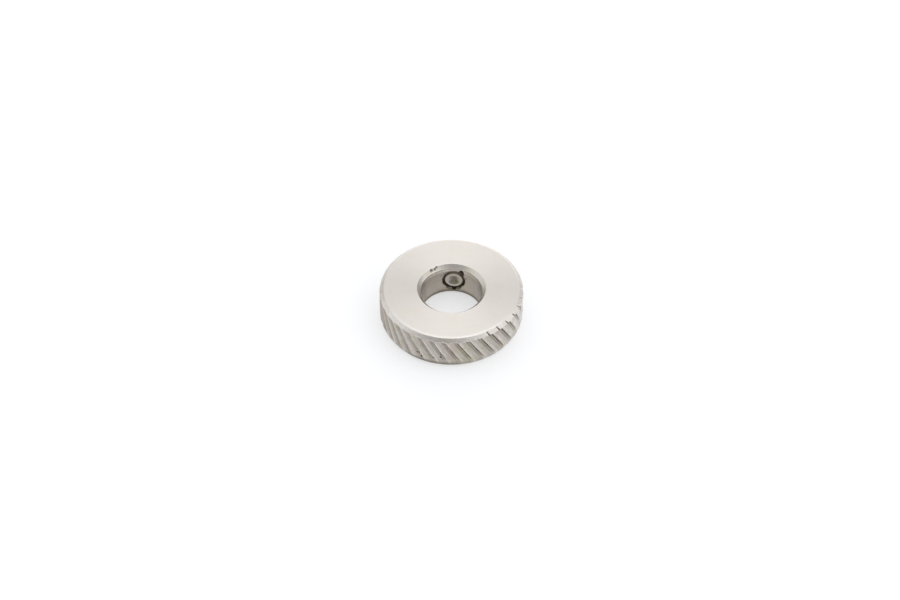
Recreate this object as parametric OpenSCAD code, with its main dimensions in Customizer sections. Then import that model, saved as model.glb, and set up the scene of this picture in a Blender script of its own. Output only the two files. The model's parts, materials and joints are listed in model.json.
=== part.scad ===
// Knurled clamping ring: a turned ring with a plain bore and a coarse diagonal knurl,
// held on its shaft by one cup point set screw that runs in through the wall.
// Millimetres. +Z runs up along the bore, and the origin is the centre of the lower face.
// The set screw lies along +Y, at half the ring's thickness.

/* [Ring] */
// Outer diameter, over the lands of the knurl
ring_d = 19; // [17:0.5:24]
// Thickness, from face to face
ring_t = 5; // [4.5:0.25:8]
// Diameter of the plain bore
bore_d = 8; // [6:0.5:10]
// Chamfer at both outer edges, the same along and across
rim_chamfer = 0.5; // [0.3:0.1:0.8]
// Chamfer at the upper end of the bore, the same along and across
upper_bore_chamfer = 0.55; // [0.3:0.05:0.6]
// Chamfer at the lower end of the bore, the same along and across
lower_bore_chamfer = 0.3; // [0.2:0.05:0.6]

/* [Knurl] */
// Number of grooves round the ring
groove_n = 36; // [24:1:42]
// Angle between the grooves and the axis
helix_angle = 30; // [15:1:40]
// Distance between the two tracks at the bottom of a groove
track_gap = 0.34; // [0.2:0.02:0.5]
// Width of the gentle flank of a groove, from the land to the trailing track
gentle_flank_w = 0.42; // [0.2:0.02:0.5]
// Width of the steep flank of a groove, from the leading track to the land
steep_flank_w = 0.2; // [0.1:0.02:0.3]
// Depth of the leading track, below the outer diameter
deep_track = 0.26; // [0.16:0.02:0.34]
// Depth of the trailing track, below the outer diameter
shallow_track = 0.18; // [0.14:0.02:0.3]
// Depth of the fine ridge between the tracks, below the outer diameter
ridge_depth = 0.13; // [0.06:0.01:0.13]
// Direction of the middle of the first groove, at half the thickness
groove_start = 4.3; // [0:0.1:10]

/* [Set screw] */
// Outer diameter of the set screw's thread
screw_d = 3; // [2.5:0.1:3.2]
// Clearance round the thread, on the radius
thread_gap = 0.04; // [0.02:0.01:0.1]
// Depth of the socket end below the knurl
socket_setback = 0.5; // [0.3:0.1:1.5]
// How far the point stands proud of the wall of the bore
point_proud = 0.08; // [0:0.02:0.4]
// Chamfer at both ends of the thread
thread_chamfer = 0.35; // [0.2:0.05:0.4]
// Width of the hexagon socket, across its flats
socket_w = 1.5; // [1:0.1:1.6]
// Depth of the hexagon socket
socket_depth = 1.6; // [1:0.1:2]
// Diameter of the cup at the point
cup_d = 1.6; // [1:0.1:1.7]
// Angle of the cup, from wall to wall
cup_angle = 120; // [90:5:140]

/* [Hidden] */
$fn = 180;
ring_r = ring_d / 2;
bore_r = bore_d / 2;
// How far a cutter runs past the surface that it opens
overrun = 0.4;
// Turn of a groove from the lower end of its cutter to the upper one
groove_h = ring_t + 2 * overrun;
groove_twist = groove_h * tan(helix_angle) / ring_r * 180 / PI;
// Straight steps along one groove
groove_steps = 6;
groove_pitch = 360 / groove_n;
hole_r = screw_d / 2 + thread_gap;
point_y = bore_r - point_proud;
socket_y = ring_r - socket_setback;
screw_len = socket_y - point_y;
// Angle of the drilled bottom of the hexagon socket, from wall to wall
drill_angle = 120;
socket_r = socket_w / 2 / cos(30);
steel = "#d6d1c9";
screw_steel = "#8d887e";

// Half of the ring's section, turned into the blank before it is knurled
module ring_section() {
    polygon([
        [bore_r + lower_bore_chamfer, 0],
        [ring_r - rim_chamfer, 0],
        [ring_r, rim_chamfer],
        [ring_r, ring_t - rim_chamfer],
        [ring_r - rim_chamfer, ring_t],
        [bore_r + upper_bore_chamfer, ring_t],
        [bore_r, ring_t - upper_bore_chamfer],
        [bore_r, lower_bore_chamfer]
    ]);
}

// Section of one groove, square to the axis: two tracks with a fine ridge between them
module groove_section() {
    gentle_lip = -track_gap / 2 - gentle_flank_w;
    steep_lip = track_gap / 2 + steep_flank_w;
    polygon([
        [ring_r + overrun, gentle_lip],
        [ring_r, gentle_lip],
        [ring_r - shallow_track, -track_gap / 2],
        [ring_r - ridge_depth, 0],
        [ring_r - deep_track, track_gap / 2],
        [ring_r, steep_lip],
        [ring_r + overrun, steep_lip]
    ]);
}

// One left-handed groove over the full thickness
module groove() {
    translate([0, 0, -overrun])
        rotate([0, 0, groove_twist / 2])
            linear_extrude(height = groove_h, twist = groove_twist, slices = groove_steps, segments = 0)
                groove_section();
}

// Tapped hole for the set screw, from inside the bore out through the knurl
module screw_hole() {
    translate([0, 0, ring_t / 2])
        rotate([-90, 0, 0])
            cylinder(h = ring_r + overrun, r = hole_r);
}

module knurled_ring() {
    color(steel)
        difference() {
            rotate_extrude() ring_section();
            for (i = [0 : groove_n - 1])
                rotate([0, 0, groove_start + i * groove_pitch]) groove();
            screw_hole();
        }
}

// Outline of the screw's thread with a chamfer at each end, standing on its point
module screw_section() {
    polygon([
        [0, 0],
        [screw_d / 2 - thread_chamfer, 0],
        [screw_d / 2, thread_chamfer],
        [screw_d / 2, screw_len - thread_chamfer],
        [screw_d / 2 - thread_chamfer, screw_len],
        [0, screw_len]
    ]);
}

// Cup that bites into the shaft, with its mouth at the screw's point
module cup() {
    slope = tan(cup_angle / 2);
    translate([0, 0, -overrun])
        cylinder(h = overrun + cup_d / 2 / slope, r1 = cup_d / 2 + overrun * slope, r2 = 0);
}

// Hexagon socket with the drilled bottom that the hexagon was broached into
module socket() {
    floor_z = screw_len - socket_depth;
    drill_h = socket_w / 2 / tan(drill_angle / 2);
    translate([0, 0, floor_z])
        cylinder(h = socket_depth + overrun, r = socket_r, $fn = 6);
    translate([0, 0, floor_z - drill_h])
        cylinder(h = drill_h, r1 = 0, r2 = socket_w / 2);
}

module set_screw() {
    color(screw_steel)
        translate([0, point_y, ring_t / 2])
            rotate([-90, 0, 0])
                difference() {
                    rotate_extrude() screw_section();
                    cup();
                    socket();
                }
}

knurled_ring();
set_screw();
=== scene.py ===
import json
import math

import bmesh
import bpy
from mathutils import Matrix, Vector, noise


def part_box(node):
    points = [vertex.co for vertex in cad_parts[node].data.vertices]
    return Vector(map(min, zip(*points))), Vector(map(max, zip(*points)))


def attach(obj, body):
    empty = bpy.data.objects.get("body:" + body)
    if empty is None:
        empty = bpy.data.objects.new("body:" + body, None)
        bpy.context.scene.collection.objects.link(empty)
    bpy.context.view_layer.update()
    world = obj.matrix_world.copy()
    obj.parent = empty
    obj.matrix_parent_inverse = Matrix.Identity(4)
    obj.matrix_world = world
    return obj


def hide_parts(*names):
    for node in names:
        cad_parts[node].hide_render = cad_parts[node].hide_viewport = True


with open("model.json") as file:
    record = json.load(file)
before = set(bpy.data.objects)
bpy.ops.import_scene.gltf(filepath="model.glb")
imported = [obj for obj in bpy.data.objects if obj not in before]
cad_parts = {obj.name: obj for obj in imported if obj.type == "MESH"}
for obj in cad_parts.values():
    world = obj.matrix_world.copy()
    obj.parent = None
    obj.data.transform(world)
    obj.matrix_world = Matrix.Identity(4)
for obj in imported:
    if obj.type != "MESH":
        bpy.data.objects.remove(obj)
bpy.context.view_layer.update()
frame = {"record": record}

# ---------------------------------------------------------------------------
# Sizes in metres: what the solids say, then the sizes their source is driven by
# ---------------------------------------------------------------------------

MM = 0.001

RING_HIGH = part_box("knurled_ring")[1]
RING_R = RING_HIGH.x
RING_T = RING_HIGH.z
BORE = next(m for m in frame["record"]["mounts"] if m["name"] == "shaft_bore")
BORE_R = BORE["dims"]["r_mm"] * MM
SCREW_LOW, SCREW_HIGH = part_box("set_screw")
SCREW_R = SCREW_HIGH.x
POINT_Y = SCREW_LOW.y
SOCKET_Y = SCREW_HIGH.y

RIM_CHAMFER = 0.5 * MM
UPPER_BORE_CHAMFER = 0.55 * MM
LOWER_BORE_CHAMFER = 0.3 * MM
FOOT_WIDTH = 0.4 * MM
FOOT_HEIGHT = 0.8 * MM
# Where the upper face ends and where the chamfer below it ends, at the rim and at the bore's mouth
RIM_R = RING_R - RIM_CHAMFER
RIM_Z = RING_T - RIM_CHAMFER
MOUTH_R = BORE_R + UPPER_BORE_CHAMFER
MOUTH_Z = RING_T - UPPER_BORE_CHAMFER

GROOVES = 36
PITCH = math.tau * RING_R / GROOVES
HELIX = math.radians(30)
# How far a groove turns round the ring for each metre that it climbs
LEAD = math.tan(HELIX) / RING_R
GROOVE_START = math.radians(4.3)
TRACK_GAP = 0.34 * MM
GENTLE_FLANK = 0.42 * MM
STEEP_FLANK = 0.2 * MM
GENTLE_LIP = -TRACK_GAP / 2 - GENTLE_FLANK
STEEP_LIP = TRACK_GAP / 2 + STEEP_FLANK
SHALLOW_TRACK = 0.18 * MM
RIDGE_DEPTH = 0.13 * MM
DEEP_TRACK = 0.26 * MM
TRACK_WIDTH = 0.12 * MM
LAND_CROWN = 0.05 * MM

# Heads of the trailing tracks, cut into the rim's chamfer: width, and depth at the top
HEAD_WIDTH = 0.13 * MM
HEAD_DEPTH = 0.4 * MM
# Drops below the upper face between which a groove comes in, and how much lower that is at the back
RUN_IN = (0.36 * MM, 0.85 * MM)
LATE_START = 0.3 * MM
# Drops below the upper face between which a head gets shallow, and between which it ends
HEAD_TAPER = (0.1 * MM, 0.9 * MM)
HEAD_END = (0.9 * MM, 1.3 * MM)
# Heights above the lower face between which a groove runs out, and between which it is rubbed away
RUN_OUT = (0.35 * MM, 1.9 * MM)
RUBBED_OUT = (1.0 * MM, 3.6 * MM)
# What is left of a groove's depth at its foot
FOOT_SHARE = 0.5
# Depth of the soft waves that are left where the knurl is worn, and where across a groove they start
WORN_DEPTH = 0.135 * MM
WORN_START = 0.2
# Unevenness over the whole band: height, fineness, and how much more it takes off than it adds
SKIN_HEIGHT = 0.012 * MM
SKIN_SCALE = 26
SKIN_BIAS = 0.4

THREAD_PITCH = 0.5 * MM
THREAD_DEPTH = 0.3 * MM
THREAD_GAP = 0.04 * MM
THREAD_CHAMFER = 0.35 * MM
SOCKET_W = 1.5 * MM
SOCKET_DEPTH = 1.6 * MM
CUP_D = 1.6 * MM
CUP_ANGLE = math.radians(120)

# Points nearer to each other than this are made one: on a new thread, and on a turned or cut piece
WELD = 0.0001 * MM
CRACK = 0.00001 * MM

ROOM_LIGHT = 0.65
# What the floor gives off by itself where it is looked at or mirrored
FLOOR_LIFT = 0.54
# Lighter and darker places in the room: where each lies, how near a ray must point to it, what it adds
GLOWS = (
    ((0.0, 0.1, 1.0), 0.75, 0.67),
    ((0.0, 1.0, 0.1), 0.75, 1.0),
    ((-1.0, 0.0, 0.35), 0.75, 0.22),
    ((1.0, 0.0, 0.35), 0.45, 0.34),
    ((-0.12, -0.69, 0.68), 0.75, -0.3),
    ((0.72, 0.69, 0.05), 0.92, -0.4),
)


# ---------------------------------------------------------------------------
# Camera
# ---------------------------------------------------------------------------

def link(name, data):
    thing = bpy.data.objects.new(name, data)
    bpy.context.scene.collection.objects.link(thing)
    return thing


def make_camera():
    """Long lens, looking down at 46 degrees, with the screw's point a little right of the middle."""
    azimuth = math.radians(4.5)
    elevation = math.radians(46.1)
    distance = 395 * MM
    aim_right = -0.19 * MM
    aim_up = -1.56 * MM
    back = Vector((
        math.sin(azimuth) * math.cos(elevation),
        -math.cos(azimuth) * math.cos(elevation),
        math.sin(elevation),
    ))
    right = Vector((math.cos(azimuth), math.sin(azimuth), 0))
    up = back.cross(right)
    top_centre = Vector((0, 0, RING_T))
    place = top_centre + back * distance
    aim = top_centre + right * aim_right + up * aim_up
    data = bpy.data.cameras.new("camera")
    data.lens = 120
    data.sensor_width = 36
    data.clip_start = 0.01
    data.clip_end = 10
    camera = link("camera", data)
    camera.location = place
    camera.rotation_mode = "QUATERNION"
    camera.rotation_quaternion = (aim - place).to_track_quat("-Z", "Y")
    bpy.context.scene.camera = camera


# ---------------------------------------------------------------------------
# Nodes
# ---------------------------------------------------------------------------

class Recipe:
    """A short hand for wiring nodes in one tree."""

    def __init__(self, tree):
        self.tree = tree

    def node(self, kind, **settings):
        made = self.tree.nodes.new("ShaderNode" + kind)
        for name, value in settings.items():
            setattr(made, name, value)
        return made

    def feed(self, socket, value):
        if isinstance(value, bpy.types.NodeSocket):
            self.tree.links.new(value, socket)
        else:
            socket.default_value = value

    def math(self, operation, *values, clamp=False):
        made = self.node("Math", operation=operation, use_clamp=clamp)
        for socket, value in zip(made.inputs, values):
            self.feed(socket, value)
        return made.outputs[0]

    def ramp(self, value, low, high, to_low=0.0, to_high=1.0):
        made = self.node("MapRange", interpolation_type="SMOOTHSTEP")
        self.feed(made.inputs["Value"], value)
        self.feed(made.inputs["From Min"], low)
        self.feed(made.inputs["From Max"], high)
        self.feed(made.inputs["To Min"], to_low)
        self.feed(made.inputs["To Max"], to_high)
        return made.outputs["Result"]

    def noise(self, vector, scale, detail=3.0, roughness=0.5, dimensions="3D"):
        made = self.node("TexNoise", noise_dimensions=dimensions)
        if dimensions == "1D":
            self.feed(made.inputs["W"], vector)
        else:
            self.feed(made.inputs["Vector"], vector)
        self.feed(made.inputs["Scale"], scale)
        made.inputs["Detail"].default_value = detail
        made.inputs["Roughness"].default_value = roughness
        return made.outputs["Fac"]

    def mix(self, factor, first, second, blend="MIX"):
        made = self.node("Mix", data_type="RGBA", blend_type=blend)
        self.feed(made.inputs[0], factor)
        self.feed(made.inputs[6], first)
        self.feed(made.inputs[7], second)
        return made.outputs[2]

    def place(self):
        return self.node("TexCoord").outputs["Object"]

    def parts(self, vector):
        made = self.node("SeparateXYZ")
        self.feed(made.inputs[0], vector)
        return made.outputs

    def joined(self, x, y, z):
        made = self.node("CombineXYZ")
        for socket, value in zip(made.inputs, (x, y, z)):
            self.feed(socket, value)
        return made.outputs[0]

    def length(self, first, second):
        """Length of the slanted side of a right angle with these two sides."""
        squares = [self.math("MULTIPLY", side, side) for side in (first, second)]
        return self.math("SQRT", self.math("ADD", *squares))

    def reach(self):
        """Distance from the axis of the ring."""
        x, y, _ = self.parts(self.place())
        return self.length(x, y)

    def group(self, tree, **values):
        made = self.node("Group", node_tree=tree)
        for name, value in values.items():
            self.feed(made.inputs[name.replace("_", " ")], value)
        return made.outputs

    def near(self, spots):
        """From 0 to 1 as a point comes close to the nearest of some spots, each a place and a radius."""
        closeness = 0.0
        for place, radius in spots:
            away = self.node("VectorMath", operation="DISTANCE")
            self.feed(away.inputs[0], self.place())
            self.feed(away.inputs[1], place)
            mask = self.ramp(away.outputs["Value"], 0.35 * radius, radius, 1.0, 0.0)
            closeness = self.math("MAXIMUM", mask, closeness)
        return closeness

    def ray(self, *kinds):
        """1 for rays of the given kinds, and 0 for all others."""
        path = self.node("LightPath")
        seen = 0.0
        for kind in kinds:
            seen = self.math("MAXIMUM", path.outputs["Is " + kind + " Ray"], seen)
        return seen


# ---------------------------------------------------------------------------
# Light and floor
# ---------------------------------------------------------------------------

def make_world():
    """An even white room: a soft box overhead, a bright wall behind, cards at the sides, two dark places."""
    world = bpy.data.worlds.new("studio")
    bpy.context.scene.world = world
    world.use_nodes = True
    world.node_tree.nodes.clear()
    recipe = Recipe(world.node_tree)
    light = ROOM_LIGHT
    for towards, edge, strength in GLOWS:
        facing = recipe.node("VectorMath", operation="DOT_PRODUCT")
        recipe.feed(facing.inputs[0], recipe.node("TexCoord").outputs["Generated"])
        recipe.feed(facing.inputs[1], Vector(towards).normalized())
        glow = recipe.ramp(facing.outputs["Value"], edge, 1.0, 0.0, strength)
        light = recipe.math("ADD", glow, light)
    shade = recipe.node("Mix", data_type="FLOAT")
    recipe.feed(shade.inputs[0], recipe.ray("Camera", "Transmission"))
    recipe.feed(shade.inputs[2], light)
    recipe.feed(shade.inputs[3], 1.0)
    background = recipe.node("Background")
    recipe.feed(background.inputs["Color"], (1, 1, 1, 1))
    recipe.feed(background.inputs["Strength"], shade.outputs[0])
    output = recipe.node("OutputWorld")
    recipe.feed(output.inputs["Surface"], background.outputs[0])


def make_floor():
    """A pale paper floor, which keeps the object's soft shadow."""
    bm = bmesh.new()
    bmesh.ops.create_grid(bm, x_segments=1, y_segments=1, size=1.5)
    data = bpy.data.meshes.new("floor")
    bm.to_mesh(data)
    bm.free()
    floor = link("floor", data)
    material = bpy.data.materials.new("paper_sweep")
    material.use_nodes = True
    recipe = Recipe(material.node_tree)
    shader = material.node_tree.nodes["Principled BSDF"]
    shader.inputs["Base Color"].default_value = (0.57, 0.575, 0.59, 1)
    shader.inputs["Roughness"].default_value = 0.9
    shader.inputs["Specular IOR Level"].default_value = 0.1
    shader.inputs["Emission Color"].default_value = (0.985, 0.99, 1, 1)
    lift = recipe.math("MULTIPLY", recipe.ray("Camera", "Glossy", "Transmission"), FLOOR_LIFT)
    recipe.feed(shader.inputs["Emission Strength"], lift)
    floor.data.materials.append(material)


# ---------------------------------------------------------------------------
# Shader node groups
# ---------------------------------------------------------------------------

def new_group(name, inputs, outputs):
    tree = bpy.data.node_groups.new(name, "ShaderNodeTree")
    for label, default in inputs:
        socket = tree.interface.new_socket(name=label, in_out="INPUT", socket_type="NodeSocketFloat")
        socket.default_value = default
    for label, kind in outputs:
        tree.interface.new_socket(name=label, in_out="OUTPUT", socket_type="NodeSocket" + kind)
    recipe = Recipe(tree)
    entry = tree.nodes.new("NodeGroupInput")
    leave = tree.nodes.new("NodeGroupOutput")
    return recipe, entry.outputs, leave.inputs


def turning_marks_group():
    """Fine rings left by the lathe tool, in steps of Feed, as a height and a tone from 0 to 1."""
    recipe, given, result = new_group(
        "turning marks", [("Feed", 0.00009), ("Patchiness", 0.5)], [("Height", "Float"), ("Tone", "Float")])
    z = recipe.parts(recipe.place())["Z"]
    along = recipe.math("ADD", recipe.reach(), z)
    turns = recipe.math("DIVIDE", along, given["Feed"])
    fine = recipe.noise(turns, 1.0, detail=2.0, dimensions="1D")
    coarse = recipe.noise(turns, 0.13, detail=1.0, dimensions="1D")
    rings = recipe.math("ADD", recipe.math("MULTIPLY", fine, 0.7), recipe.math("MULTIPLY", coarse, 0.3))
    patch = recipe.noise(recipe.place(), 260.0, detail=3.0)
    spread = recipe.math("MULTIPLY", recipe.math("SUBTRACT", patch, 0.5), given["Patchiness"])
    recipe.feed(result["Height"], rings)
    recipe.feed(result["Tone"], recipe.math("ADD", rings, spread, clamp=True))
    return recipe.tree


def helix_grain_group():
    """Streaks that run along the knurl, as the point is turned back by the helix before it is looked up."""
    recipe, given, result = new_group(
        "helix grain",
        [("Scale", 9000.0), ("Stretch", 0.12)],
        [("Height", "Float"), ("Patch", "Float")])
    place = recipe.place()
    z = recipe.parts(place)["Z"]
    turn = recipe.math("MULTIPLY", z, LEAD)
    turned = recipe.node("VectorRotate", rotation_type="Z_AXIS")
    recipe.feed(turned.inputs["Vector"], place)
    recipe.feed(turned.inputs["Angle"], turn)
    x, y, z = recipe.parts(turned.outputs[0])
    lengthened = recipe.joined(x, y, recipe.math("MULTIPLY", z, given["Stretch"]))
    recipe.feed(result["Height"], recipe.noise(lengthened, given["Scale"], detail=4.0, roughness=0.65))
    recipe.feed(result["Patch"], recipe.noise(place, 900.0, detail=4.0, roughness=0.6))
    return recipe.tree


def groove_phase_group():
    """How far round a point lies from the middle of one groove, 0, to the middle of the next, 1."""
    recipe, _, result = new_group("groove phase", [], [("Across", "Float")])
    x, y, z = recipe.parts(recipe.place())
    climb = recipe.math("SUBTRACT", z, RING_T / 2)
    turn = recipe.math("MULTIPLY", climb, LEAD)
    angle = recipe.math("ADD", recipe.math("ARCTAN2", y, x), turn)
    grooves = recipe.math("MULTIPLY", recipe.math("SUBTRACT", angle, GROOVE_START), GROOVES / math.tau)
    recipe.feed(result["Across"], recipe.math("FRACT", grooves))
    return recipe.tree


def dirt_and_shade_group():
    """Darkening from a mask of dirt and of painted shade, broken up by a soft mottle."""
    recipe, given, result = new_group(
        "dirt and shade", [("Hollow", 0.0), ("Spread", 0.35), ("Mottle Scale", 1200.0)], [("Amount", "Float")])
    mottle = recipe.noise(recipe.place(), given["Mottle Scale"], detail=5.0, roughness=0.6)
    centred = recipe.math("SUBTRACT", mottle, 0.5)
    broken = recipe.math("ADD", given["Hollow"], recipe.math("MULTIPLY", centred, given["Spread"]))
    recipe.feed(result["Amount"], recipe.math("MAXIMUM", recipe.math("MINIMUM", broken, 1.0), 0.0))
    return recipe.tree


def oil_film_group():
    """The faint olive and rose that an old film of oil leaves on steel, as a colour to multiply by."""
    recipe, given, result = new_group(
        "oil film", [("Strength", 0.5), ("Scale", 700.0)], [("Tint", "Color")])
    first = recipe.noise(recipe.place(), given["Scale"], detail=3.0)
    second = recipe.noise(recipe.place(), recipe.math("MULTIPLY", given["Scale"], 1.7), detail=3.0)
    olive = recipe.math("MULTIPLY", recipe.ramp(first, 0.48, 0.66), given["Strength"])
    rose = recipe.math("MULTIPLY", recipe.ramp(second, 0.5, 0.68), given["Strength"])
    tint = recipe.mix(olive, (1, 1, 1, 1), (0.9, 0.92, 0.74, 1))
    recipe.feed(result["Tint"], recipe.mix(rose, tint, (0.95, 0.86, 0.83, 1)))
    return recipe.tree


TURNING_MARKS = turning_marks_group()
HELIX_GRAIN = helix_grain_group()
GROOVE_PHASE = groove_phase_group()
DIRT_AND_SHADE = dirt_and_shade_group()
OIL_FILM = oil_film_group()


# ---------------------------------------------------------------------------
# Damage: where each blow lies, its direction into the metal, its radius and its depth
# ---------------------------------------------------------------------------

def on_band(degrees, height):
    """A place on the outside of the ring, in degrees round it and millimetres above its lower face."""
    angle = math.radians(degrees)
    reach = RING_R - max(0.0, height * MM - RIM_Z)
    return Vector((reach * math.cos(angle), reach * math.sin(angle), height * MM))


def on_bore_chamfer(degrees, height):
    """A place on the chamfer at the bore's mouth, given in the same way."""
    angle = math.radians(degrees)
    reach = BORE_R + height * MM - MOUTH_Z
    return Vector((reach * math.cos(angle), reach * math.sin(angle), height * MM))


def pit(degrees, height, radius, depth):
    place = on_band(degrees, height)
    return place, Vector((-place.x, -place.y, 0)).normalized(), radius * MM, depth * MM


def nick(degrees, height, radius, depth):
    place = on_bore_chamfer(degrees, height)
    inward = (Vector((place.x, place.y, 0)).normalized() - Vector((0, 0, 1))).normalized()
    return place, inward, radius * MM, depth * MM


PITS = [
    pit(-114.0, 1.54, 0.14, 0.12),
    pit(-111.8, 1.64, 0.2, 0.24),
    pit(-110.0, 1.06, 0.22, 0.22),
    pit(-100.2, 1.36, 0.2, 0.24),
    pit(-94.2, 1.58, 0.19, 0.26),
    pit(-93.8, 2.04, 0.13, 0.16),
    pit(-54.8, 4.83, 0.16, 0.16),
    pit(-44.8, 4.82, 0.17, 0.18),
]
NICKS = [
    nick(132.3, 4.78, 0.26, 0.2),
    nick(125.5, 4.74, 0.2, 0.15),
    nick(121.5, 4.86, 0.2, 0.15),
]
# Spots of oil on the bore's wall: place and radius
STAINS = [
    (Vector((1.67, 3.66, 3.15)) * MM, 0.2 * MM),
    (Vector((-1.66, 3.64, 3.45)) * MM, 0.16 * MM),
]
# Torn places at the edge of the tapped hole, in millimetres: name, middle and half size
TEARS = [
    ("torn_side", (1.03, 3.82, 3.84), (0.34, 0.42, 0.6)),
    ("torn_top", (0.9, 3.87, 3.97), (0.32, 0.4, 0.28)),
    ("torn_foot", (0.05, 3.95, 0.92), (0.33, 0.35, 0.3)),
]
# How far the darkening in a pit or a nick reaches, dirt with painted shade, in its own radii
DIRT_AND_SHADE_REACH = 1.15


# ---------------------------------------------------------------------------
# Materials
# ---------------------------------------------------------------------------

def metal(name):
    material = bpy.data.materials.new(name)
    material.use_nodes = True
    recipe = Recipe(material.node_tree)
    shader = material.node_tree.nodes["Principled BSDF"]
    shader.inputs["Metallic"].default_value = 1.0
    return material, recipe, shader


def bump(recipe, shader, height, distance, strength=1.0):
    made = recipe.node("Bump")
    made.inputs["Strength"].default_value = strength
    made.inputs["Distance"].default_value = distance
    recipe.feed(made.inputs["Height"], height)
    recipe.feed(shader.inputs["Normal"], made.outputs[0])


def oiled(recipe, colour, strength, scale):
    """A colour under a film of oil."""
    tint = recipe.group(OIL_FILM, Strength=strength, Scale=scale)["Tint"]
    return recipe.mix(1.0, colour, tint, blend="MULTIPLY")


def on_front(recipe):
    """1 on the ring's front, fading to 0 towards its middle."""
    y = recipe.parts(recipe.place())["Y"]
    return recipe.ramp(y, -0.75 * RING_R, -0.35 * RING_R, 1.0, 0.0)


def face_steel():
    """Lathe-turned satin steel, whose sheen stretches across its rings, with a painted highlight along the
    rim in front.
    """
    material, recipe, shader = metal("turned_face_steel")
    marks = recipe.group(TURNING_MARKS, Feed=0.09 * MM, Patchiness=0.6)
    turned_colour = recipe.mix(marks["Tone"], (0.785, 0.743, 0.697, 1), (0.85, 0.809, 0.767, 1))
    # Painted highlight: a lighter ring along the rim's edge, on the front only.
    near_rim = recipe.ramp(recipe.reach(), RIM_R - 0.45 * MM, RIM_R - 0.2 * MM)
    highlight = recipe.math("MULTIPLY", near_rim, on_front(recipe))
    highlighted = recipe.mix(highlight, turned_colour, (0.88, 0.85, 0.81, 1))
    recipe.feed(shader.inputs["Base Color"], oiled(recipe, highlighted, 0.12, 350.0))
    recipe.feed(shader.inputs["Roughness"], recipe.ramp(marks["Tone"], 0.2, 0.8, 0.38, 0.3))
    bump(recipe, shader, marks["Height"], 0.001 * MM)
    shader.inputs["Anisotropic"].default_value = 0.6
    shader.inputs["Anisotropic Rotation"].default_value = 0.25
    tangent = recipe.node("Tangent", direction_type="RADIAL", axis="Z")
    recipe.feed(shader.inputs["Tangent"], tangent.outputs[0])
    return material


def chamfer_steel():
    """The bore's chamfer: coarse rings from the tool, a painted highlight along its lower edge and on its +X
    side, painted shade at its -X end, and dirt with painted shade in its nicks.
    """
    material, recipe, shader = metal("bore_chamfer_steel")
    marks = recipe.group(TURNING_MARKS, Feed=0.13 * MM, Patchiness=1.2)
    turned_colour = recipe.mix(marks["Tone"], (0.56, 0.525, 0.485, 1), (0.92, 0.88, 0.83, 1))
    x, _, z = recipe.parts(recipe.place())
    # Painted highlight along the chamfer's lower edge, and on its +X side.
    edge_highlight = recipe.ramp(z, MOUTH_Z + 0.04 * MM, MOUTH_Z + 0.2 * MM, 0.9, 0.0)
    side_highlight = recipe.ramp(x, -0.45 * BORE_R, -0.1 * BORE_R, 0.0, 0.18)
    highlight = recipe.math("MAXIMUM", edge_highlight, side_highlight)
    highlighted = recipe.mix(highlight, turned_colour, (0.94, 0.9, 0.86, 1))
    # Darker in the nicks, dirt with painted shade, and painted shade at the -X end.
    nicked = recipe.near([(place, DIRT_AND_SHADE_REACH * radius) for place, _, radius, _ in NICKS])
    chamfer_end_shade = recipe.ramp(x, -1.12 * BORE_R, -0.9 * BORE_R, 0.45, 0.0)
    dirt_and_shade_mask = recipe.math("MAXIMUM", nicked, chamfer_end_shade)
    dirt_and_shade = recipe.group(DIRT_AND_SHADE, Hollow=dirt_and_shade_mask, Spread=0.5, Mottle_Scale=2500.0)["Amount"]
    dirt_and_shade_darkened = recipe.mix(dirt_and_shade, highlighted, (0.3, 0.275, 0.245, 1))
    recipe.feed(shader.inputs["Base Color"], oiled(recipe, dirt_and_shade_darkened, 0.4, 600.0))
    recipe.feed(shader.inputs["Roughness"], recipe.math("ADD", 0.33, recipe.math("MULTIPLY", dirt_and_shade, 0.25)))
    bump(recipe, shader, marks["Height"], 0.008 * MM)
    return material


def bore_steel():
    """The bore's wall: bored, duller than the faces, with a painted highlight towards its top, painted shade
    along its lower edge and at its two sides, and spots of oil.
    """
    material, recipe, shader = metal("bore_steel")
    x, _, z = recipe.parts(recipe.place())
    marks = recipe.group(TURNING_MARKS, Feed=0.12 * MM, Patchiness=1.4)
    bored_colour = recipe.mix(marks["Tone"], (0.37, 0.333, 0.297, 1), (0.53, 0.482, 0.43, 1))
    # Painted highlight: lighter towards the top of the wall.
    highlight = recipe.ramp(z, MOUTH_Z - 0.65 * MM, MOUTH_Z)
    highlighted = recipe.mix(highlight, bored_colour, (0.74, 0.69, 0.63, 1))
    # Painted shade along the wall's lower edge by the floor, and at both sides of the wall; the stains are
    # spots of oil.
    foot = recipe.ramp(z, LOWER_BORE_CHAMFER + 0.1 * MM, LOWER_BORE_CHAMFER + 0.7 * MM, 0.9, 0.0)
    stained = recipe.math("MULTIPLY", recipe.near(STAINS), 0.8)
    ends = recipe.ramp(recipe.math("ABSOLUTE", x), 0.75 * BORE_R, BORE_R, 0.0, 0.35)
    dirt_and_shade_mask = recipe.math("MAXIMUM", recipe.math("MAXIMUM", foot, stained), ends)
    dirt_and_shade = recipe.group(DIRT_AND_SHADE, Hollow=dirt_and_shade_mask, Spread=0.45, Mottle_Scale=1100.0)["Amount"]
    dirt_and_shade_darkened = recipe.mix(dirt_and_shade, highlighted, (0.19, 0.17, 0.12, 1))
    recipe.feed(shader.inputs["Base Color"], oiled(recipe, dirt_and_shade_darkened, 0.5, 420.0))
    recipe.feed(shader.inputs["Roughness"], recipe.math("ADD", 0.34, recipe.math("MULTIPLY", dirt_and_shade, 0.2)))
    bump(recipe, shader, marks["Height"], 0.003 * MM)
    return material


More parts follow.
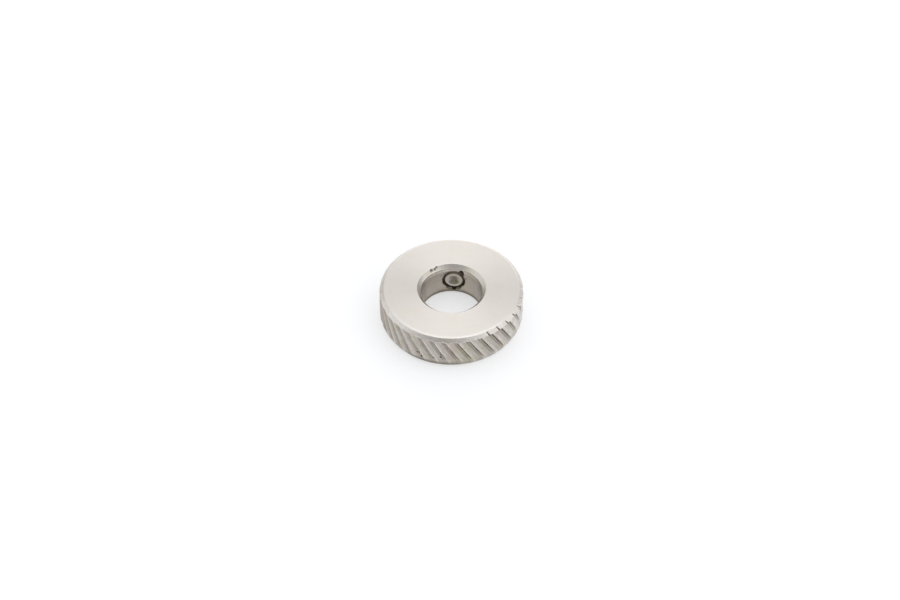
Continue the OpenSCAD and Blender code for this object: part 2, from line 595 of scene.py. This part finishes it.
def rim_colour(recipe, land):
    """The rim's chamfer: a painted highlight in front, and painted shade at the sides towards the back."""
    x, y, _ = recipe.parts(recipe.place())
    # Painted highlight on the front.
    front = recipe.ramp(y, -0.5 * RING_R, 0.0, 0.55, 0.0)
    highlighted = recipe.mix(front, land, (1, 0.97, 0.94, 1))
    # Painted shade at the sides towards the back.
    rearward = recipe.math("SUBTRACT", y, recipe.math("MULTIPLY", x, 0.25))
    at_back = recipe.ramp(rearward, -0.15 * RING_R, 0.05 * RING_R)
    at_sides = recipe.ramp(recipe.math("ABSOLUTE", x), 0.65 * RING_R, 0.8 * RING_R)
    rear_side_shade = recipe.math("MULTIPLY", at_back, at_sides)
    return recipe.mix(rear_side_shade, highlighted, (0.9, 0.91, 0.9, 1), blend="MULTIPLY")


def band_colour(recipe, land):
    """The knurled band: painted shade towards one side of each groove, and painted shade at its -X end."""
    x = recipe.parts(recipe.place())["X"]
    # Painted shade on one side of each land.
    groove_side_shade = recipe.ramp(recipe.group(GROOVE_PHASE)["Across"], 0.3, 0.56)
    sided = recipe.mix(groove_side_shade, land, (0.71, 0.695, 0.68, 1), blend="MULTIPLY")
    # Painted shade towards the -X end of the band.
    band_end_shade = recipe.ramp(x, -RING_R, -0.78 * RING_R, 1.0, 0.0)
    return recipe.mix(band_end_shade, sided, (0.74, 0.71, 0.68, 1), blend="MULTIPLY")


def knurl_dirt_and_shade_mask(recipe):
    """From 0 to 1 where the band is darkened: down in the grooves, dirt with painted shade, and along the
    foot in front, painted shade.
    """
    x, y, z = recipe.parts(recipe.place())
    chamfered = recipe.math("SUBTRACT", z, RIM_Z)
    footed = recipe.math("MULTIPLY", recipe.math("SUBTRACT", FOOT_HEIGHT, z), FOOT_WIDTH / FOOT_HEIGHT)
    turned_off = recipe.math("MAXIMUM", recipe.math("MAXIMUM", chamfered, footed), 0.0)
    depth = recipe.math("SUBTRACT", recipe.math("SUBTRACT", RING_R, turned_off), recipe.reach())
    groove = recipe.ramp(depth, 0.06 * MM, 0.35 * MM)
    # Painted shade along the foot, in front and towards -X.
    low = recipe.ramp(z, 0.5 * FOOT_HEIGHT, 1.4 * FOOT_HEIGHT, 0.85, 0.0)
    in_front = recipe.ramp(y, -0.9 * RING_R, -0.72 * RING_R, 1.0, 0.2)
    in_middle = recipe.ramp(x, 0.0, 0.45 * RING_R, 1.0, 0.2)
    foot = recipe.math("MULTIPLY", low, recipe.math("MULTIPLY", in_front, in_middle))
    return recipe.math("MAXIMUM", groove, foot)


def knurl_steel():
    """Rolled steel: a speckle that runs along the grooves, dirt and painted shade down in them and along the
    foot in front, painted light towards +X, and pits darkened with dirt and painted shade.
    """
    material, recipe, shader = metal("knurl_steel")
    x, _, z = recipe.parts(recipe.place())
    grain = recipe.group(HELIX_GRAIN, Scale=6000.0, Stretch=0.2)
    on_band = recipe.ramp(z, RIM_Z - 0.1 * MM, RIM_Z + 0.15 * MM, 1.0, 0.0)
    land = recipe.mix(grain["Patch"], (0.67, 0.631, 0.583, 1), (0.83, 0.79, 0.743, 1))
    bare = recipe.mix(on_band, rim_colour(recipe, land), band_colour(recipe, land))
    # Painted light: the band is lightened towards +X.
    right_side_light = recipe.ramp(x, 0.66 * RING_R, 0.95 * RING_R, 0.0, 0.38)
    lighter = recipe.mix(right_side_light, bare, (0.98, 0.95, 0.92, 1))

    streaks = recipe.ramp(grain["Height"], 0.36, 0.56, 0.6, 0.0)
    dots = recipe.ramp(recipe.noise(recipe.place(), 6500.0), 0.3, 0.58, 0.6, 0.0)
    strength = recipe.ramp(on_band, 0.0, 1.0, 0.4)
    speckle = recipe.math("MULTIPLY", recipe.math("MAXIMUM", streaks, dots), strength)
    speckled = recipe.mix(speckle, lighter, (0.35, 0.325, 0.29, 1))

    dirt_and_shade = recipe.group(DIRT_AND_SHADE, Hollow=knurl_dirt_and_shade_mask(recipe), Spread=0.6, Mottle_Scale=1800.0)["Amount"]
    dirt_and_shade_darkened = recipe.mix(dirt_and_shade, speckled, (0.24, 0.215, 0.175, 1))
    # Pit floors are made near-black: dirt with painted shade.
    floors = [(place + depth * inward, DIRT_AND_SHADE_REACH * radius) for place, inward, radius, depth in PITS]
    pitted = recipe.mix(recipe.near(floors), dirt_and_shade_darkened, (0.075, 0.066, 0.053, 1))
    recipe.feed(shader.inputs["Base Color"], oiled(recipe, pitted, 0.5, 600.0))
    recipe.feed(shader.inputs["Roughness"], recipe.math("ADD", 0.33, recipe.math("MULTIPLY", dirt_and_shade, 0.25)))
    bump(recipe, shader, grain["Height"], 0.022 * MM)
    return material


def hole_steel(name, lighter, dirty):
    """The tapped hole's wall, dark with cutting oil; with near-black colours, also the torn places at its
    edge, whose darkness is painted shade.
    """
    material, recipe, shader = metal(name)
    dirt_and_shade = recipe.group(DIRT_AND_SHADE, Hollow=0.6, Spread=0.8, Mottle_Scale=3000.0)["Amount"]
    recipe.feed(shader.inputs["Base Color"], recipe.mix(dirt_and_shade, lighter, dirty))
    recipe.feed(shader.inputs["Roughness"], recipe.math("ADD", 0.4, recipe.math("MULTIPLY", dirt_and_shade, 0.3)))
    bump(recipe, shader, dirt_and_shade, 0.01 * MM)
    return material


def screw_steel():
    """Plain steel, with painted shade down in the thread at the point and in the cup of the point."""
    material, recipe, shader = metal("set_screw_steel")
    x, _, z = recipe.parts(recipe.place())
    z = recipe.math("SUBTRACT", z, RING_T / 2)
    reach = recipe.length(x, z)
    # Painted shade: darker down in the thread at the point and in the cup.
    thread_shade = recipe.ramp(reach, SCREW_R - THREAD_CHAMFER, SCREW_R - 0.8 * THREAD_CHAMFER)
    cup = recipe.ramp(reach, 0.45 * CUP_D / 2, 1.05 * CUP_D / 2, 0.32, 0.0)
    hollow = recipe.math("MAXIMUM", thread_shade, cup)
    dirt_and_shade = recipe.group(DIRT_AND_SHADE, Hollow=hollow, Spread=0.4, Mottle_Scale=2500.0)["Amount"]
    plain = recipe.mix(dirt_and_shade, (0.54, 0.505, 0.465, 1), (0.3, 0.265, 0.215, 1))
    recipe.feed(shader.inputs["Base Color"], oiled(recipe, plain, 0.6, 1100.0))
    recipe.feed(shader.inputs["Roughness"], recipe.math("ADD", 0.42, recipe.math("MULTIPLY", dirt_and_shade, 0.2)))
    bump(recipe, shader, dirt_and_shade, 0.012 * MM)
    return material


# ---------------------------------------------------------------------------
# Turned, threaded and cut shapes
# ---------------------------------------------------------------------------

def finished(name, bm, *materials):
    """Makes an object of a bmesh whose faces are all closed, with their normals outward."""
    bmesh.ops.recalc_face_normals(bm, faces=bm.faces)
    data = bpy.data.meshes.new(name)
    bm.to_mesh(data)
    bm.free()
    for material in materials:
        data.materials.append(material)
    return link(name, data)


def onto_screw_axis(bm):
    """Lays what was made standing on +Z along the set screw's axis, +Y at half the ring's thickness."""
    turn = Matrix.Rotation(math.radians(-90), 4, "X")
    bmesh.ops.transform(bm, matrix=Matrix.Translation((0, 0, RING_T / 2)) @ turn, verts=bm.verts)


def turned(bm, outline, steps):
    """Spins an open outline of (radius, height) points, which starts and ends on the axis, into a solid."""
    verts = [bm.verts.new((radius, 0, height)) for radius, height in outline]
    edges = [bm.edges.new(pair) for pair in zip(verts, verts[1:])]
    bmesh.ops.spin(
        bm, geom=verts + edges, cent=(0, 0, 0), axis=(0, 0, 1), dvec=(0, 0, 0),
        angle=math.tau, steps=steps, use_merge=True)
    bmesh.ops.remove_doubles(bm, verts=bm.verts, dist=CRACK)


def thread(bm, major_r, low, high, steps=48):
    """A right-handed metric thread: one outline of all its turns, spun once round as it climbs one pitch.

    It starts and ends some turns beyond the two heights, where it is then cut off flat and closed.
    """
    crest = THREAD_PITCH / 8
    root = THREAD_PITCH / 4
    flank = (THREAD_PITCH - crest - root) / 2
    minor_r = major_r - THREAD_DEPTH
    spare_turns = 3
    first = int(low / THREAD_PITCH) - spare_turns
    last = int(high / THREAD_PITCH) + spare_turns
    outline = []
    for turn in range(first, last):
        base = turn * THREAD_PITCH
        outline += [
            (minor_r, base),
            (minor_r, base + root),
            (major_r, base + root + flank),
            (major_r, base + root + flank + crest),
        ]
    verts = [bm.verts.new((radius, 0, height)) for radius, height in outline]
    edges = [bm.edges.new(pair) for pair in zip(verts, verts[1:])]
    bmesh.ops.spin(
        bm, geom=verts + edges, cent=(0, 0, 0), axis=(0, 0, 1), dvec=(0, 0, THREAD_PITCH / steps),
        angle=math.tau, steps=steps, use_merge=False)
    bmesh.ops.remove_doubles(bm, verts=bm.verts, dist=WELD)
    for height, side in ((low, -1), (high, 1)):
        geom = bm.verts[:] + bm.edges[:] + bm.faces[:]
        bmesh.ops.bisect_plane(
            bm, geom=geom, dist=1e-9, plane_co=(0, 0, height), plane_no=(0, 0, side), clear_outer=True)
    rims = [edge for edge in bm.edges if edge.is_boundary]
    for height in (low, high):
        rim = [edge for edge in rims if abs(edge.verts[0].co.z - height) < WELD]
        bmesh.ops.contextual_create(bm, geom=rim)
    bmesh.ops.triangulate(bm, faces=[face for face in bm.faces if len(face.verts) > 4])


def cut(piece, operation, *cutters):
    """Applies exact booleans to a piece, closes hairline cracks, and takes the cutters away."""
    for cutter in cutters:
        modifier = piece.modifiers.new("cut", "BOOLEAN")
        modifier.operation = operation
        modifier.solver = "EXACT"
        modifier.object = cutter
        modifier.material_mode = "TRANSFER"
    graph = bpy.context.evaluated_depsgraph_get()
    result = bpy.data.meshes.new_from_object(piece.evaluated_get(graph))
    bm = bmesh.new()
    bm.from_mesh(result)
    bmesh.ops.remove_doubles(bm, verts=bm.verts, dist=CRACK)
    bm.to_mesh(result)
    bm.free()
    piece.modifiers.clear()
    piece.data = result
    for cutter in cutters:
        bpy.data.objects.remove(cutter)


# ---------------------------------------------------------------------------
# The knurled ring
# ---------------------------------------------------------------------------

# Which of the ring's materials each of its surfaces has: 0 is that of the two faces
BAND_SURFACE = 1
CHAMFER_SURFACE = 2
BORE_SURFACE = 3


def between(low, high, share):
    return low + (high - low) * share


def soft_step(low, high, value):
    """From 0 at low to 1 at high, level at both ends."""
    share = min(1.0, max(0.0, (value - low) / (high - low)))
    return share * share * (3 - 2 * share)


def groove_columns():
    """Where the mesh has its columns across one pitch, close together at the tracks and the lips."""
    columns = [0.0]
    for lip in (GENTLE_LIP, STEEP_LIP):
        columns += [lip + offset * MM for offset in (-0.04, 0, 0.04)]
    for track in (-TRACK_GAP / 2, TRACK_GAP / 2):
        columns += [track + offset * MM for offset in (-0.08, -0.04, 0, 0.04, 0.08)]
    flank = (GENTLE_LIP + 0.04 * MM, -TRACK_GAP / 2 - 0.08 * MM)
    land = (STEEP_LIP + 0.04 * MM, PITCH + GENTLE_LIP - 0.04 * MM)
    columns += [between(*flank, share / 4) for share in (1, 2, 3)]
    columns += [between(*land, share / 6) for share in (1, 2, 3, 4, 5)]
    return sorted(columns)


def track(across, centre, width):
    """A narrow V in a groove's section, from 1 at its bottom to 0 at the given width to each side."""
    return max(0.0, 1 - abs(across - centre) / width)


def land_drop(across):
    """How far the crowned land falls away, from its highest point near the steep flank to both lips."""
    top = between(STEEP_LIP, PITCH + GENTLE_LIP, 0.35)
    if across <= STEEP_LIP:
        return 1.0
    side = top - STEEP_LIP if across < top else PITCH + GENTLE_LIP - top
    return ((across - top) / side) ** 2


def apart(angle, degrees):
    """The angle between two directions round the ring, without its sign."""
    return abs(math.remainder(angle - math.radians(degrees), math.tau))


def away_from(angle, degrees, near, far):
    """0 within near degrees of a direction round the ring, and 1 beyond far degrees of it."""
    return soft_step(math.radians(near), math.radians(far), apart(angle, degrees))


def wear(angle):
    """How far the knurl is worn smooth, from 0 to 1: most on the side towards -X and -Y."""
    return 1 - away_from(angle, -142, 14, 36)


def rubbed(angle):
    """How far the knurl's lower half is rubbed away, from 0 to 1: most on the side towards +X."""
    return 0.7 * (1 - away_from(angle, 0, 10, 34))


def head_room(angle):
    """Where the trailing tracks start high up on the chamfer, from 0 to 1: all round but at the front."""
    return away_from(angle, -92, 16, 40)


def behind(angle):
    """Where the grooves stop short of the chamfer, from 0 to 1: round the back."""
    return 1 - away_from(angle, 94.5, 78, 96)


def run_in(drop, angle):
    """How far a groove has come in at a drop below the upper face, from 0 to 1."""
    late = LATE_START * behind(angle)
    start, full = RUN_IN
    return soft_step(start + late, full + late, drop)


def run_out(height, angle):
    """What is left of a groove at a height above the lower face, from 0 to 1."""
    whole = between(FOOT_SHARE, 1.0, soft_step(*RUN_OUT, height))
    return whole * (1 - rubbed(angle) * (1 - soft_step(*RUBBED_OUT, height)))


def crisp_groove(across):
    """Depth of an unworn groove: a trough with a track at each side of the ridge along its middle."""
    if across < 0:
        trough = soft_step(GENTLE_LIP, -TRACK_GAP / 2, across)
    else:
        trough = 1 - soft_step(TRACK_GAP / 2, STEEP_LIP, across)
    leading = (DEEP_TRACK - RIDGE_DEPTH) * track(across, TRACK_GAP / 2, TRACK_WIDTH)
    trailing = (SHALLOW_TRACK - RIDGE_DEPTH) * track(across, -TRACK_GAP / 2, TRACK_WIDTH)
    return RIDGE_DEPTH * trough + leading + trailing


def track_head(across, drop, angle):
    """Depth of a trailing track's head, which is cut steep-sided into the rim's chamfer."""
    tapered = between(HEAD_DEPTH, SHALLOW_TRACK, soft_step(*HEAD_TAPER, drop))
    depth = tapered * head_room(angle) * (1 - behind(angle)) * (1 - soft_step(*HEAD_END, drop))
    return depth * min(1.0, 1.6 * track(across, -TRACK_GAP / 2, HEAD_WIDTH))


def groove_depth(across, drop, angle):
    """Depth of the knurl below the ring's outer radius, at a drop below the upper face."""
    coming = run_in(drop, angle)
    crisp = crisp_groove(across) * coming * run_out(RING_T - drop, angle)
    crisp = max(crisp, track_head(across, drop, angle))
    worn = WORN_DEPTH * (0.5 + 0.5 * math.cos(math.tau * (across / PITCH + WORN_START))) * coming
    return between(crisp, worn, 0.9 * wear(angle)) + LAND_CROWN * land_drop(across)


def ring_corners():
    """Corners of the ring's section: radius, height, and how far each is rounded to either side."""
    return [
        (BORE_R + LOWER_BORE_CHAMFER, 0, 0.04 * MM),
        (RING_R - FOOT_WIDTH, 0, 0.05 * MM),
        (RING_R, FOOT_HEIGHT, 0.22 * MM),
        (RING_R, RIM_Z, 0.05 * MM),
        (RIM_R, RING_T, 0.11 * MM),
        (RIM_R - 0.16 * MM, RING_T, 0),
        (MOUTH_R + 0.12 * MM, RING_T, 0),
        (MOUTH_R, RING_T, 0.06 * MM),
        (BORE_R, MOUTH_Z, 0.13 * MM),
        (BORE_R, MOUTH_Z - 0.2 * MM, 0),
        (BORE_R, LOWER_BORE_CHAMFER + 0.1 * MM, 0),
        (BORE_R, LOWER_BORE_CHAMFER, 0.04 * MM),
    ]


def row_height(middle):
    """How long a stretch of the section one row of faces covers, by where the stretch lies."""
    outside = middle.x > RIM_R
    upper = middle.z > RIM_Z
    if outside and RIM_CHAMFER < middle.z < RIM_Z:
        return 0.13 * MM
    if outside:
        return 0.07 * MM if upper else 0.14 * MM
    if upper and BORE_R < middle.x < MOUTH_R:
        return 0.08 * MM
    return 1.2 * MM


def ring_outline(bm):
    """The ring's section as a loop of edges in the XZ plane, with rounded corners and rows for the knurl."""
    corners = ring_corners()
    verts = [bm.verts.new((x, 0, z)) for x, z, rounding in corners]
    bm.faces.new(verts)
    for vert, (x, z, rounding) in zip(verts, corners):
        if rounding:
            bmesh.ops.bevel(
                bm, geom=[vert], offset=rounding, offset_type="OFFSET", affect="VERTICES",
                segments=4 if rounding > 0.1 * MM else 3, profile=0.5, material=-1)
    for edge in list(bm.edges):
        middle = (edge.verts[0].co + edge.verts[1].co) / 2
        cuts = int(edge.calc_length() / row_height(middle))
        if cuts:
            bmesh.ops.subdivide_edges(bm, edges=[edge], cuts=cuts)
    bm.faces.remove(bm.faces[:][0])


def knurl(bm):
    """Moves the vertices of the turned blank to their places on the knurled ring."""
    columns = groove_columns()
    step = math.tau / GROOVES / len(columns)
    for vertex in bm.verts:
        x, y, z = vertex.co
        reach = math.hypot(x, y)
        groove, column = divmod(round(math.atan2(y, x) / step), len(columns))
        angle = GROOVE_START + math.tau * groove / GROOVES + columns[column] / RING_R
        follow = soft_step(MOUTH_R, RIM_R, reach)
        angle -= follow * (z - RING_T / 2) * LEAD
        if reach > RIM_R:
            blank = reach
            reach = min(blank, RING_R - groove_depth(columns[column], RING_T - z, angle))
            skin = noise.noise(Vector((math.cos(angle), math.sin(angle), z / RING_R)) * SKIN_SCALE)
            reach += SKIN_HEIGHT * (skin - SKIN_BIAS) * soft_step(RIM_R, RIM_R + 0.15 * MM, blank)
        vertex.co = (reach * math.cos(angle), reach * math.sin(angle), z)


def strike(bm, place, inward, radius, depth):
    """Pushes a round hollow into a mesh."""
    for vertex in bm.verts:
        away = (vertex.co - place).length / radius
        if away < 1:
            vertex.co += inward * depth * (1 - away * away) ** 2


def pebble(name, material, centre, half_size):
    """A small ellipsoid that cuts a torn place into the edge of the tapped hole."""
    bm = bmesh.new()
    bmesh.ops.create_icosphere(bm, subdivisions=3, radius=1)
    bmesh.ops.scale(bm, vec=[half * MM for half in half_size], verts=bm.verts)
    bmesh.ops.translate(bm, vec=[at * MM for at in centre], verts=bm.verts)
    return finished(name, bm, material)


def assign_surfaces(bm):
    """Gives each face of the turned blank its surface, by where it lies, and smooths the shading."""
    for face in bm.faces:
        face.smooth = True
        middle = face.calc_center_median()
        reach = math.hypot(middle.x, middle.y)
        low = middle.z < RING_T / 2
        if reach < BORE_R + (LOWER_BORE_CHAMFER if low else 0.02 * MM):
            face.material_index = BORE_SURFACE
        elif reach < MOUTH_R and not low:
            face.material_index = CHAMFER_SURFACE
        elif reach > RIM_R:
            face.material_index = BAND_SURFACE


def make_tap(steel):
    """The threaded solid that leaves the tapped hole when it is cut away, past both of its ends."""
    bm = bmesh.new()
    thread(bm, SCREW_R + THREAD_GAP, BORE_R - 0.9 * MM, RING_R + 0.6 * MM)
    onto_screw_axis(bm)
    return finished("tap", bm, steel)


def make_mouth(steel):
    """The plain solid that clears the first turn of the thread, where the hole meets the bore."""
    radius = SCREW_R + THREAD_GAP
    near = 3 * MM
    far = BORE_R + 0.35 * MM
    bm = bmesh.new()
    turned(bm, [(0, near), (radius, near), (radius, far), (0, far)], 64)
    onto_screw_axis(bm)
    return finished("mouth", bm, steel)


def make_ring(surfaces, hole, torn):
    bm = bmesh.new()
    ring_outline(bm)
    bmesh.ops.spin(
        bm, geom=bm.verts[:] + bm.edges[:], cent=(0, 0, 0), axis=(0, 0, 1), dvec=(0, 0, 0),
        angle=math.tau, steps=GROOVES * len(groove_columns()), use_merge=True)
    assign_surfaces(bm)
    knurl(bm)
    for blow in PITS + NICKS:
        strike(bm, *blow)
    ring = finished("knurled_ring_turned", bm, *surfaces)
    tears = [pebble(name, torn, middle, half_size) for name, middle, half_size in TEARS]
    cut(ring, "DIFFERENCE", make_tap(hole), make_mouth(hole), *tears)
    return ring


# ---------------------------------------------------------------------------
# The set screw
# ---------------------------------------------------------------------------

def make_screw(steel):
    """The screw is what a turned blank, a little too fat, shares with a thread, a little too long."""
    cup_r = CUP_D / 2
    cup_depth = cup_r / math.tan(CUP_ANGLE / 2)
    end_r = SCREW_R - THREAD_CHAMFER
    spare = 0.1 * MM
    bm = bmesh.new()
    turned(bm, [
        (0, POINT_Y + cup_depth),
        (cup_r, POINT_Y),
        (end_r, POINT_Y),
        (SCREW_R + spare, POINT_Y + THREAD_CHAMFER + spare),
        (SCREW_R + spare, SOCKET_Y - THREAD_CHAMFER - spare),
        (end_r, SOCKET_Y),
        (0, SOCKET_Y),
    ], 64)
    onto_screw_axis(bm)
    screw = finished("set_screw_threaded", bm, steel)
    bm = bmesh.new()
    thread(bm, SCREW_R, POINT_Y - 0.3 * MM, SOCKET_Y + 0.3 * MM)
    onto_screw_axis(bm)
    threaded = finished("threaded", bm, steel)
    cut(screw, "INTERSECT", threaded)
    socket_r = SOCKET_W / 2 / math.cos(math.radians(30))
    bm = bmesh.new()
    bmesh.ops.create_cone(
        bm, cap_ends=True, cap_tris=False, segments=6, radius1=socket_r, radius2=socket_r,
        depth=SOCKET_DEPTH * 2)
    bmesh.ops.translate(bm, vec=(0, 0, SOCKET_Y), verts=bm.verts)
    onto_screw_axis(bm)
    socket = finished("socket", bm, steel)
    cut(screw, "DIFFERENCE", socket)
    return screw


# ---------------------------------------------------------------------------
# The scene
# ---------------------------------------------------------------------------

make_camera()
make_world()
make_floor()
bpy.context.scene.view_settings.view_transform = "Standard"

surfaces = (face_steel(), knurl_steel(), chamfer_steel(), bore_steel())
oily = hole_steel("tapped_hole_steel", (0.5, 0.45, 0.38, 1), (0.3, 0.26, 0.21, 1))
# The torn places get near-black colours: painted shade in the hollows at the hole's edge.
torn = hole_steel("torn_edge_painted_shade", (0.14, 0.12, 0.1, 1), (0.06, 0.05, 0.04, 1))
ring = make_ring(surfaces, oily, torn)
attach(ring, "root")
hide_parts("knurled_ring")

screw = make_screw(screw_steel())
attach(screw, "root")
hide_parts("set_screw")
